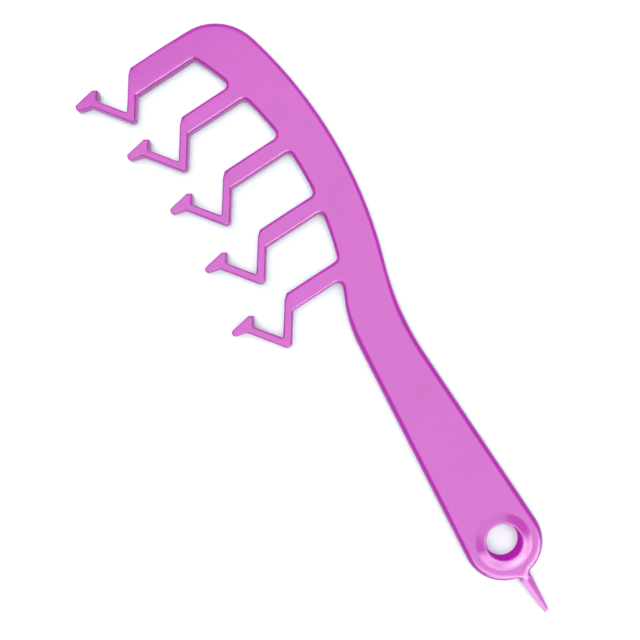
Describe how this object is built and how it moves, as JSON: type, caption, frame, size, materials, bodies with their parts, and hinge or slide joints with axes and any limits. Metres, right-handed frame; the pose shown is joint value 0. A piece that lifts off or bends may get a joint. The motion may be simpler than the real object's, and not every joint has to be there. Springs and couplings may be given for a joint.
{
  "type": "wide tooth comb",
  "caption": "Flat one-piece plastic comb with widely spaced Z-shaped teeth on a curved spine, a tapering handle with a collared hanging hole, and a short tail pick.",
  "frame": {"origin": "bottom centre of the whole comb, on the flat back that it lies on", "axes": "+X along the handle towards the head, +Y towards the teeth, +Z out of the front face"},
  "size_m": [0.2002, 0.0608, 0.0049],
  "materials": {
    "plastic": "satin"
  },
  "bodies": {
    "root": {"spine": "plastic", "handle": "plastic", "tooth_1": "plastic", "tooth_2": "plastic", "tooth_3": "plastic", "tooth_4": "plastic", "tooth_5": "plastic", "hanging_eye": "plastic", "tail_pick": "plastic"}
  },
  "joints": []
}
